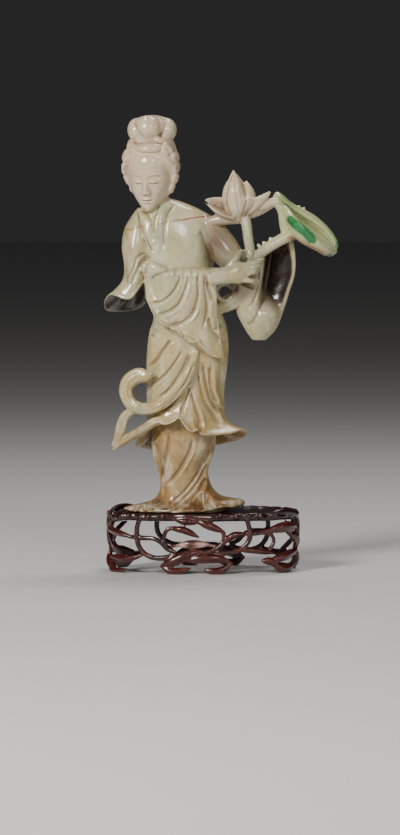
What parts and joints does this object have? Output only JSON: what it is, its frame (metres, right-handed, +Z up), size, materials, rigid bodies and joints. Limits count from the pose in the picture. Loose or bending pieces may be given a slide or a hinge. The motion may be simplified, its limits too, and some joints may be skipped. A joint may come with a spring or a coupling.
{
  "type": "guanyin figure on a stand",
  "caption": "Carved jadeite guanyin figure holding a lotus bud and leaf, on an openwork wood stand that it rests on; a shelf ornament.",
  "frame": {"origin": "middle of the whole object's box in X and Y, at the height that the stand's feet rest on", "axes": "+Z up, and the figure faces -Y, so +X is to the right of someone who looks at its front"},
  "size_m": [0.1168, 0.0584, 0.2277],
  "materials": {
    "jadeite": "high waxy polish, pale celadon grey-green with a lavender-white head, russet stain and emerald patches",
    "lacquered_wood": "glossy dark reddish-brown lacquer, worn brighter on the leaf faces"
  },
  "bodies": {
    "root": {"guanyin_figure": "jadeite", "wood_stand": "lacquered_wood"}
  },
  "joints": []
}
